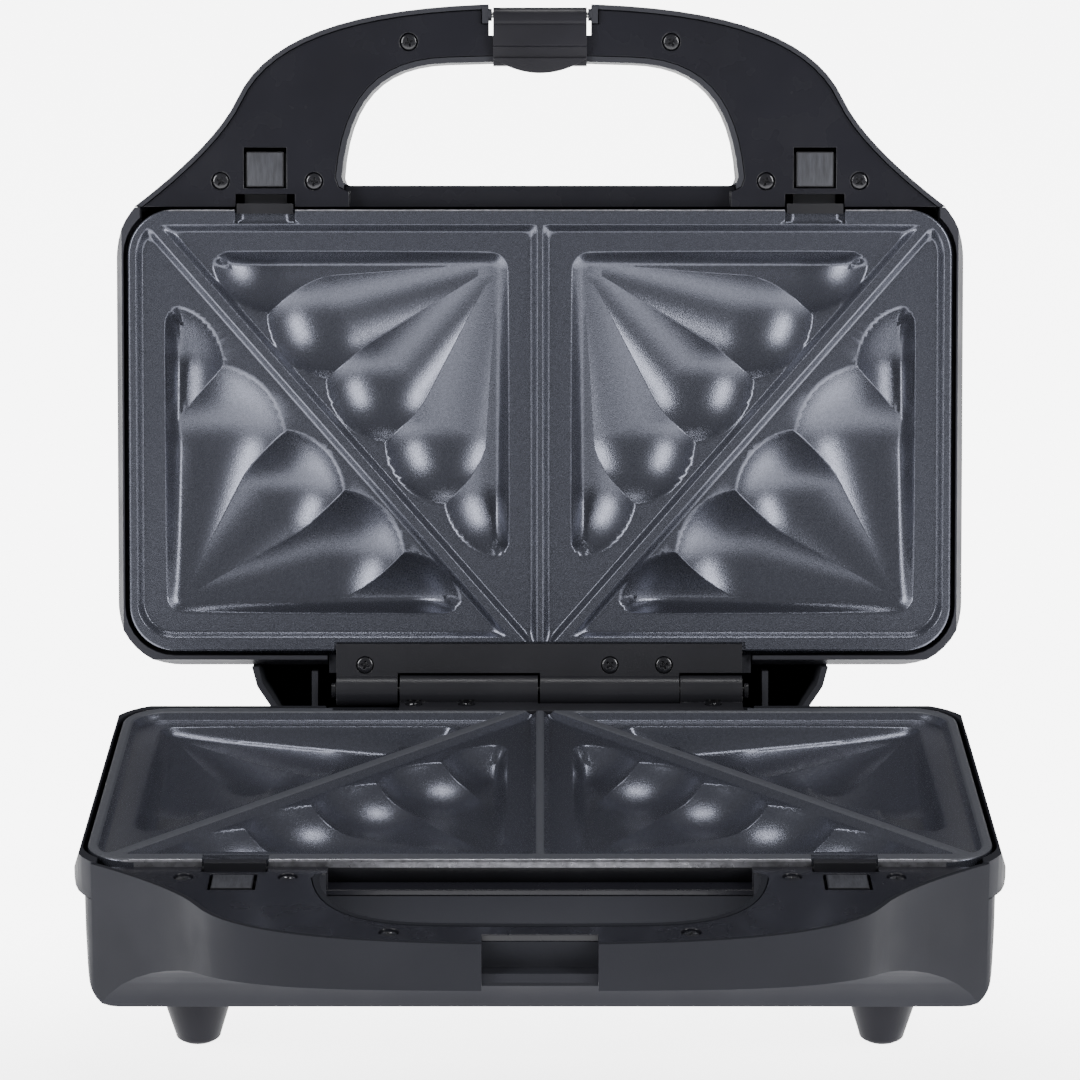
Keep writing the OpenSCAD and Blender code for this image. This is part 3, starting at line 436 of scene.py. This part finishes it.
def lobe_depth(p, q, apex, lobe):
    cx, cy, width, deep = lobe

    def fall(c):
        w = START_W + (width - START_W) * c
        d = START_DEPTH + (deep - START_DEPTH) * c
        rho = (w * w + d * d) / (2 * d)
        gap = rho * rho - (p - apex[0] - (cx - apex[0]) * c) ** 2 - (q - apex[1] - (cy - apex[1]) * c) ** 2
        return np.where(gap > 0, np.sqrt(np.maximum(gap, 0)) - (rho - d), -9.0)

    f = fall(np.linspace(0, 1, 33)[:, None])
    best = np.clip(np.argmax(f, 0), 1, 31)
    k = np.arange(f.shape[1])
    f0, f1, f2 = f[best - 1, k], f[best, k], f[best + 1, k]
    bend = f0 - 2 * f1 + f2
    shift = np.where(np.abs(bend) > 1e-9, 0.5 * (f0 - f2) / np.where(np.abs(bend) > 1e-9, bend, 1), 0)
    t = np.clip(best + np.clip(shift, -1, 1), 0, 32) / 32
    return np.maximum(np.maximum(fall(t), f0), np.maximum(f1, f2))


def corner_inside(a, b, r):
    return r - np.hypot(np.maximum(r - a, 0), np.maximum(r - b, 0))


def pocket_depth(x, u, pocket):
    px, pu, way, apex, cusps, lobes, ex, ey = pocket
    p = (x - px) * way
    q = (u - pu) * way
    deep = np.zeros_like(p)
    near = (p > -8) & (q > -8)
    if near.any():
        pn, qn = p[near], q[near]
        found = np.full_like(pn, -9.0)
        for lobe in lobes:
            found = np.maximum(found, lobe_depth(pn, qn, apex, lobe))
        trim = np.zeros_like(pn)
        first, last = lobes[0], lobes[4]
        for past, edge, (cx, cy, w, _) in ((pn - first[0], qn + ey, first), (qn - last[1], pn + ex, last)):
            arc = w - np.hypot(pn - cx, qn - cy)
            turned = corner_inside(edge, arc, END_R)
            trim += np.where((past > 0) & (edge < END_R) & (arc < END_R), np.minimum(edge, arc) - turned, 0)
        found = -soft_min(1.2 * trim - found, 0.0, 0.8)
        ep, eq = -soft_min(-pn - ex, 0.0, 0.5), -soft_min(-qn - ey, 0.0, 0.5)
        wall = np.where((ep < APEX_R) & (eq < APEX_R), corner_inside(ep, eq, APEX_R), np.minimum(ep, eq)) - trim
        deep[near] = found * (1 - (1 - np.clip(wall / POCKET_WALL, 0, 1)) ** 2.3)
    return deep


def edge_distance(x, u):
    qx = CORNER_R - (PLATE_HALF - x)
    qu = CORNER_R - np.minimum(u, PLATE_LONG - u)
    corner = CORNER_R - np.hypot(np.maximum(qx, 0), np.maximum(qu, 0))
    return np.where((qx > 0) & (qu > 0), corner, np.minimum(PLATE_HALF - x, np.minimum(u, PLATE_LONG - u)))


def depth(x, u):
    x = np.abs(x)
    rib = (x - RIB_A[0]) * RIB_N[0] + (u - RIB_A[1]) * RIB_N[1]
    inner = soft_min(soft_min(u - FRONT_LINE, x - SPINE_HALF, 1.5), rib - RIB_HALF, 2.4)
    side, back = SIDE_LINE - x, BACK_LINE - u
    outer = np.where((side < BACK_R) & (back < BACK_R), corner_inside(side, back, BACK_R), np.minimum(side, back))
    nose = NOSE_R - np.hypot(np.maximum(x - CORNER_X, 0), np.maximum(CORNER_R - u, 0))
    outer = np.where((x > CORNER_X) & (u < CORNER_R), nose, outer)
    outer = soft_min(outer, -rib - RIB_HALF, 2.4)
    t = np.clip(np.maximum(inner, outer) / CELL_WALL, 0, 1)
    h = RIM_LEVEL + CELL_DROP * (0.55 * t * t * (3 - 2 * t) + 0.45 * t)
    for pocket in POCKETS:
        h = h + pocket_depth(x, u, pocket)
    over = 1 - np.clip(edge_distance(x, u) / EDGE_R, 0, 1)
    h = h + EDGE_R * (1 - np.sqrt(np.clip(1 - over ** 2, 0, 1)))
    h = np.where((x > NOTCH[0]) & (x < NOTCH[1]) & (u < NOTCH[3]), np.maximum(h, 2.4), h)
    return np.where((x < BACK_NOTCH[1]) & (u > BACK_NOTCH[2]), np.maximum(h, 2.05), h)


points = []
lines = []


def line(run, closed=False):
    start = len(points)
    points.extend(run)
    n = len(run)
    lines.extend((start + i, start + i + 1) for i in range(n - 1))
    if closed:
        lines.append((start + n - 1, start))


def sampled(corners, step=2.5):
    run = []
    for a, b in zip(corners, corners[1:] + corners[:1]):
        a = np.array(a, float)
        b = np.array(b, float)
        n = max(1, int(np.linalg.norm(b - a) / step))
        run.extend(tuple(a + (b - a) * i / n) for i in range(n))
    return run


def crossing(p, n, q, m):
    det = n[0] * m[1] - n[1] * m[0]
    a = n[0] * p[0] + n[1] * p[1]
    b = m[0] * q[0] + m[1] * q[1]
    return ((a * m[1] - b * n[1]) / det, (n[0] * b - m[0] * a) / det)


SHARES = np.array([-0.016, -0.008, -0.003, 0, 0.003, 0.009, 0.018, 0.03, 0.046, 0.066, 0.09, 0.12, 0.155, 0.2, 0.25,
                   0.31, 0.37, 0.44, 0.51, 0.58, 0.65, 0.72, 0.79, 0.86, 0.93])
SPLIT = [0, 0.012, 0.04, 0.09, 0.17, 0.27, 0.38, 0.5, 0.62, 0.73, 0.83, 0.91, 0.96, 0.988, 1]
WALL_ROWS = (-0.8, -0.45, -0.15, 0, 0.15, 0.5, 1.0, 1.7, 2.6, 3.6, 4.6)
WALL_END = (7, 6, 5.2, 4.4, 3.7, 3, 2.4, 1.8, 1.3, 0.8, 0.4, 0, -0.35, -0.9)
APEX_ARCS = (0.4, 2, 3, 3.8, 4.5, 5.0, 5.35, APEX_R, APEX_R + 0.2, APEX_R + 0.5, APEX_R + 0.9)
CELL_ROWS = (-0.45, -0.15, 0, 0.12, 0.5, 1.1, 1.7, 2.15, 2.3, 2.6, 3.4)
EDGE_ROWS = (0.0, 0.1, 0.3, 0.6, 0.9, 1.3, 2.9, 3.2)
RINGS = np.linspace(4, 110, 54)


def ridge_angles(apex, cusp, mark, first, second):
    low = np.full(54, math.atan2(first[1] - apex[1], first[0] - apex[0]))
    high = np.full(54, math.atan2(second[1] - apex[1], second[0] - apex[0]))
    for _ in range(22):
        g = (low + high) / 2
        p, q = apex[0] + RINGS * np.cos(g), apex[1] + RINGS * np.sin(g)
        deeper = lobe_depth(p, q, apex, first) > lobe_depth(p, q, apex, second)
        low, high = np.where(deeper, g, low), np.where(deeper, high, g)
    g = np.where(RINGS > math.hypot(cusp[0] - apex[0], cusp[1] - apex[1]) - 1, mark, (low + high) / 2)
    g[RINGS < 12] = g[np.argmax(RINGS >= 12)]
    return g


for px, pu, way, (ax, ay), cusps, lobes, ex, ey in POCKETS:
    marks = [0.0] + [math.atan2(y - ay, x - ax) for x, y in cusps] + [math.pi / 2]
    borders = [np.zeros(54)]
    borders += [ridge_angles((ax, ay), cusp, marks[i + 1], lobes[i], lobes[i + 1]) for i, cusp in enumerate(cusps)]
    borders.append(np.full(54, math.pi / 2))
    for i, (cx, cy, w, deep) in enumerate(lobes):
        for k in SPLIT if i == 4 else SPLIT[:-1]:
            g = marks[i] + (marks[i + 1] - marks[i]) * k
            ox, oy = ax - cx, ay - cy
            b = ox * math.cos(g) + oy * math.sin(g)
            far = (-b + math.sqrt(b * b - ox * ox - oy * oy + w * w)) * (1 - SHARES)
            g0 = np.interp(far, RINGS, borders[i])
            g = g0 + (np.interp(far, RINGS, borders[i + 1]) - g0) * k
            line(list(zip(px + way * (ax + far * np.cos(g)), pu + way * (ay + far * np.sin(g)))))
    for side in (0, 1):
        cx, cy, w, deep = lobes[4 * side]
        along, across = (cx, cy) if side == 0 else (cy, cx)
        edge = ey if side == 0 else ex
        start = ax if side == 0 else ay
        for t in WALL_ROWS:
            b = t - edge
            stop = along + math.sqrt(max(0, w * w - (b - across) ** 2))
            spots = [start, start + 1.5] + list(np.arange(start + 4, stop - 8, 3)) + [stop - e for e in WALL_END]
            line([(px + way * a, pu + way * b) if side == 0 else (px + way * b, pu + way * a) for a in spots])
    for r in APEX_ARCS:
        line([(px + way * (ax + r * math.cos(g)), pu + way * (ay + r * math.sin(g)))
              for g in np.radians(np.arange(180, 271, 10))])
along_rib = np.array((-RIB_N[1], RIB_N[0])) if RIB_N[1] < 0 else np.array((RIB_N[1], -RIB_N[0]))
for d in CELL_ROWS:
    g1 = RIB_A + RIB_N * (RIB_HALF + d)
    g2 = RIB_A - RIB_N * (RIB_HALF + d)
    a = crossing((0, FRONT_LINE + d), (0, 1), g1, RIB_N)
    b = crossing((SPINE_HALF + d, 0), (1, 0), g1, RIB_N)
    line(sampled([(SPINE_HALF + d, FRONT_LINE + d), a, b]), True)
    b = crossing((0, BACK_LINE - d), (0, 1), g2, RIB_N)
    away = g2 - (CORNER_X, CORNER_R)
    s = away @ along_rib
    a = g2 + along_rib * (math.sqrt(s * s - away @ away + (NOSE_R - d) ** 2) - s)
    far = math.atan2(CORNER_R - a[1], a[0] - CORNER_X)
    tip = [(CORNER_X + (NOSE_R - d) * math.cos(far * k / 6), CORNER_R - (NOSE_R - d) * math.sin(far * k / 6))
           for k in range(7)]
    r = max(0.5, BACK_R - d)
    bow = [(SIDE_LINE - BACK_R + r * math.sin(math.radians(t)), BACK_LINE - BACK_R + r * math.cos(math.radians(t)))
           for t in range(0, 91, 9)]
    line(sampled([b] + bow + tip), True)
for d in EDGE_ROWS:
    r = CORNER_R - d
    turn = np.radians(np.arange(0, 91, 6))
    run = [(0.0, d)]
    run += [(x, d) for x in np.arange(4, 120, 4)]
    run += [(CORNER_X + r * math.sin(t), CORNER_R - r * math.cos(t)) for t in turn]
    run += [(PLATE_HALF - d, u) for u in np.arange(19, 130, 4)]
    run += [(CORNER_X + r * math.cos(t), CORNER_BACK + r * math.sin(t)) for t in turn]
    run += [(x, PLATE_LONG - d) for x in np.arange(116, 0, -4)] + [(0.0, PLATE_LONG - d)]
    line(run)
for x0, x1, u0, u1 in (NOTCH, BACK_NOTCH):
    for e in (-0.04, 0.04):
        low = u0 + (e if u0 > 1 else 0)
        high = u1 - (e if u1 < PLATE_LONG - 1 else 0)
        left = x0 + (e if x0 > 1 else 0)
        line([(left, low), (left, high), (x1 - e, high), (x1 - e, low)], True)
points.extend((0.0, u) for u in np.arange(0, 146, 5))

coords, _, faces, _, _, _ = delaunay_2d_cdt([Vector(p) for p in points], lines, [], 0, 1e-4)
coords = np.array([tuple(c) for c in coords])
coords[:, 0] = np.maximum(coords[:, 0], 0)
faces = np.array([f for f in faces if len(f) == 3])
area = np.cross(coords[faces[:, 1]] - coords[faces[:, 0]], coords[faces[:, 2]] - coords[faces[:, 0]])
faces = faces[np.abs(area) > 1e-7]
mirrored = np.arange(len(coords))
extra = np.where(coords[:, 0] >= 1e-6)[0]
mirrored[extra] = len(coords) + np.arange(len(extra))
flat = np.concatenate((coords, coords[extra] * (-1, 1)))
faces = np.concatenate((faces, mirrored[faces][:, ::-1]))

plate_look = finish("nonstick", (0.079, 0.083, 0.104), 0.26, 2600, 0.4, 0.14, 0.03, 1300, metal=0.75)
# The front edge colour is partly bare-metal wear and partly a painted highlight for the bright edge line.
worn_and_highlight_look = finish("edge", (0.2, 0.2, 0.22), 0.33, 900, 0.5, 0.3, 0.08, 400, metal=0.8)
# Painted light: the base plate's rim and rib tops get a lighter, rougher copy of the coat.
lit_rim_look = finish("rim", (0.05, 0.0525, 0.063), 0.5, 2600, 0.5, 0.2, 0.05, 1300, metal=0.2)
# The front skirt's lower band wears the black clip finish as painted shade.
PLAIN, WORN_AND_HIGHLIGHT, SHADED_SKIRT, LIT_CREST = 0, 1, 2, 3
SLOPE_STEP = 0.04
LIP_WIDTH, LIP_BOTTOM = 3.0, 8.25
FLOOR_BOTTOM, FLOOR_THICK = 5.75, 2.1
BAND = 1.6


def build_plate(name, body, node, place, flip):
    x, u = flat[:, 0], flat[:, 1]
    n = len(flat)
    top = depth(x, u)
    rim = edge_distance(np.abs(x), u)
    low = np.where(rim < LIP_WIDTH, LIP_BOTTOM, np.maximum(FLOOR_BOTTOM, top + FLOOR_THICK))
    upper = place(x, u, top)
    slope_x = (depth(x + SLOPE_STEP, u) - depth(x - SLOPE_STEP, u)) / (2 * SLOPE_STEP)
    slope_u = (depth(x, u + SLOPE_STEP) - depth(x, u - SLOPE_STEP)) / (2 * SLOPE_STEP)
    normal = np.cross(place(x + 1, u, top + slope_x) - upper, place(x, u + 1, top + slope_u) - upper)
    if flip:
        normal = -normal
    normal /= np.linalg.norm(normal, axis=1)[:, None]
    outward = place(2 * x - np.clip(x, -CORNER_X, CORNER_X), 2 * u - np.clip(u, CORNER_R, CORNER_BACK), top) - upper
    length = np.linalg.norm(outward, axis=1)
    out = (rim < 1e-4) & (length > 1e-9)
    normal[out] = outward[out] / length[out][:, None]
    tri = faces if not flip else faces[:, ::-1]
    sides = {(int(f[i]), int(f[(i + 1) % 3])) for f in tri for i in range(3)}
    border = sorted((a, b) for a, b in sides if (b, a) not in sides)
    rims = sorted({i for pair in border for i in pair})
    mid = {i: 2 * n + k for k, i in enumerate(rims)}
    shell = [tuple(int(i) for i in f) for f in tri]
    shell += [tuple(int(i) + n for i in f[::-1]) for f in tri]
    shell += [(b, a, mid[a], mid[b]) for a, b in border]
    shell += [(mid[b], mid[a], a + n, b + n) for a, b in border]
    verts = np.concatenate((upper, place(x, u, low), place(x[rims], u[rims], top[rims] + BAND)))
    obj = add_piece(name, verts.tolist(), shell, body, node, plate_look)
    mesh = obj.data
    for look in (worn_and_highlight_look, clip_look, lit_rim_look):
        mesh.materials.append(look)
    # Front edge band of the top face: lighter colour, partly wear, partly painted highlight.
    worn_and_highlight = (u < 0.75) & (np.abs(x) < 128) & (top < 2.3)
    # Base plate only: crests lighter as painted light.
    lit_crest = (top < 0.9) & (not flip)
    kinds = [WORN_AND_HIGHLIGHT if worn_and_highlight[list(f)].all() else LIT_CREST if lit_crest[list(f)].all() else PLAIN for f in tri]
    # Front border: upper band takes the worn-and-highlight colour, lower band the black clip finish as painted shade.
    ahead = [u[a] < 0.01 and u[b] < 0.01 for a, b in border]
    kinds += [PLAIN] * len(tri) + [WORN_AND_HIGHLIGHT if k else PLAIN for k in ahead] + [SHADED_SKIRT if k else PLAIN for k in ahead]
    mesh.polygons.foreach_set("material_index", kinds)
    mesh.polygons.foreach_set("use_smooth", [True] * len(mesh.polygons))
    mesh.update()
    normals = np.concatenate((normal, np.zeros_like(normal), np.zeros((len(rims), 3))))
    mesh.normals_split_custom_set_from_vertices(normals.tolist())


wear(plate_look, "base_plate", "lid_plate")
build_plate("plate_lower", "base", "base_plate", base_point, False)
build_plate("plate_upper", "lid", "lid_plate", lid_point, True)


# Screws.
# Black steel screws with domed heads and a tapered cross recess hold the covers and the hinge leaves.
# One form of each length is shaped once and set at every place.
HEAD = [(0, 0), (0.7, 0.01), (1.3, 0.05), (1.9, 0.14), (2.35, 0.28), (2.65, 0.46), (2.78, 0.64), (2.78, 0.98),
        (2.7, 1.0)]
SHANK_R = 1.4
SIDES = 48
SLOT_TOP = (1.65, 0.42, -0.3)
SLOT_FLOOR = (0.95, 0.2, 0.85)


def form_object(name, bm):
    bmesh.ops.recalc_face_normals(bm, faces=bm.faces)
    mesh = bpy.data.meshes.new(name)
    bm.to_mesh(mesh)
    bm.free()
    obj = bpy.data.objects.new(name, mesh)
    bpy.context.scene.collection.objects.link(obj)
    return obj


def cross_screw(long):
    bm = bmesh.new()
    rings = []
    for r, h in HEAD + [(SHANK_R, 1.0), (SHANK_R, long - 1), (SHANK_R - 0.6, long), (0, long)]:
        angles = [t * math.pi / 24 for t in range(SIDES)] if r else [0]
        rings.append([bm.verts.new((r * math.cos(t), r * math.sin(t), h)) for t in angles])
    for a, b in zip(rings, rings[1:]):
        for t in range(SIDES):
            k = (t + 1) % SIDES
            corners = [a[t % len(a)], b[t % len(b)], b[k % len(b)], a[k % len(a)]]
            bm.faces.new([c for i, c in enumerate(corners) if c not in corners[:i]])
    screw = form_object("screw_form", bm)
    bm = bmesh.new()
    for turned in (False, True):
        ring = [(sx * x, sy * y, z) for x, y, z in (SLOT_TOP, SLOT_FLOOR)
                for sx, sy in ((-1, -1), (1, -1), (1, 1), (-1, 1))]
        v = [bm.verts.new((y, x, z) if turned else (x, y, z)) for x, y, z in ring]
        for f in ((0, 1, 2, 3), (4, 5, 6, 7), (0, 1, 5, 4), (1, 2, 6, 5), (2, 3, 7, 6), (3, 0, 4, 7)):
            bm.faces.new([v[i] for i in f])
    cross = form_object("cross_form", bm)
    cut = screw.modifiers.new("cross", "BOOLEAN")
    cut.operation = "DIFFERENCE"
    cut.solver = "EXACT"
    cut.use_self = True
    cut.object = cross
    soft = screw.modifiers.new("edges", "BEVEL")
    soft.width = 0.07
    soft.segments = 2
    soft.limit_method = "ANGLE"
    soft.angle_limit = math.radians(35)
    bpy.context.view_layer.update()
    made = bpy.data.meshes.new_from_object(screw.evaluated_get(bpy.context.evaluated_depsgraph_get()))
    verts = np.array([v.co[:] for v in made.vertices])
    faces = [list(p.vertices) for p in made.polygons]
    for obj in (screw, cross):
        bpy.data.objects.remove(obj)
    return verts, faces


def set_screws(name, node, body, form, spots, place, turns):
    form_verts, form_faces = form
    verts, faces = [], []
    for (x, u, h), turn in zip(spots, turns):
        c, s = math.cos(turn), math.sin(turn)
        faces += [[i + len(verts) for i in f] for f in form_faces]
        verts += place(x + form_verts[:, 0] * c - form_verts[:, 1] * s, u + form_verts[:, 0] * s + form_verts[:, 1] * c,
                       h + form_verts[:, 2]).tolist()
    obj = add_piece(name, verts, faces, body, node, screw_look)
    smooth_outside(obj.data, 50)


COVER_SPOTS = [(s * x, -ahead, 2.5) for s in (-1, 1) for x, ahead in ((104.6, 9.3), (74, 9.2), (42.9, 54.6))]
BASE_LEAF_SPOTS = [(x, 152.3, 1.35) for x in (-41.4, -24.1, 56.9)]
LID_LEAF_SPOTS = [(x, 149.6, 0.35) for x in (-57.6, 23, 40.8)]
cover_screw = cross_screw(11.9)
leaf_screw = cross_screw(6.1)
wear(screw_look, "base_cover_screws", "lid_cover_screws", "base_hinge_screws", "lid_hinge_screws")
set_screws("base_cover_heads", "base_cover_screws", "base", cover_screw, COVER_SPOTS, base_point,
           (0.3, 1.1, 0.7, 0.2, 0.9, 1.3))
set_screws("lid_cover_heads", "lid_cover_screws", "lid", cover_screw, COVER_SPOTS, lid_point,
           (0.5, 0.2, 1.2, 0.8, 0.35, 1.0))
set_screws("base_leaf_heads", "base_hinge_screws", "base", leaf_screw, BASE_LEAF_SPOTS, base_point, (0.4, 1.0, 0.6))
set_screws("lid_leaf_heads", "lid_hinge_screws", "lid", leaf_screw, LID_LEAF_SPOTS, lid_point, (0.2, 0.8, 1.2))


# Latch.
# A black plastic catch that swings on a steel pin in the notch of the lid handle.
# It has a rolled hub, a flat plate, a step back, and a finger tab bowed over the nose that hooks the base.
LATCH_HALF = 15.3
TAB_AHEAD, TAB_BOW = 49, 4.7
CATCH_PROFILE = [(65.8, 2.7), (65.55, 1.6), (64.9, 0.6), (64.0, -0.1), (62.9, -0.5), (61.6, -0.62), (60.7, -0.52),
                 (60.3, -0.1), (59.9, -0.42), (53.3, -0.6), (52.7, 0.35), (46.7, 0.35), (46.7, 5.6), (48.4, 5.6),
                 (48.8, 1.6), (60, 1.6), (61.8, 4.5), (62.6, 4.95), (63.4, 5.1), (64.6, 4.78), (65.5, 3.9)]
latch_look = finish("latch", (0.0115, 0.0112, 0.0142), 0.34, 1400, 0.2, 0.12, specular=0.22)


def tab_edge(x, inset=0.0):
    return -(TAB_AHEAD - (TAB_BOW - inset) * (1 - (x / LATCH_HALF) ** 2))


side_view = [(-LATCH_HALF, -ahead, h) for ahead, h in CATCH_PROFILE]
tab = [(-LATCH_HALF, -49.2, -0.7), *[(x, tab_edge(x), -0.7) for x in np.linspace(-LATCH_HALF, LATCH_HALF, 19)],
       (LATCH_HALF, -49.2, -0.7)]
nose = [(-13, -48, 0.4), *[(x, tab_edge(x, 0.5), 0.4) for x in np.linspace(-11, 11, 13)], (13, -48, 0.4)]
wear(latch_look, "latch")
wear(steel_look, "latch_pin")
moulded("catch", [(side_view, (2 * LATCH_HALF, 0, 0)), (tab, (0, 0, 1.3)), (nose, (0, 0, 5.2))],
        0.22, "latch", latch_look, lid_point)


# Lamps.
# Two clear coloured lenses are pushed into the lid top, red for power and green for ready.
# A ceramic holder stands behind them.
wear(finish("red_lens", (0.5, 0.02, 0.015), 0.12, 300, 0.05, 0.15, coat=0.5), "lens_red")
wear(finish("green_lens", (0.03, 0.35, 0.07), 0.12, 300, 0.05, 0.15, coat=0.5), "lens_green")
wear(ceramic_look, "lamp_holder")
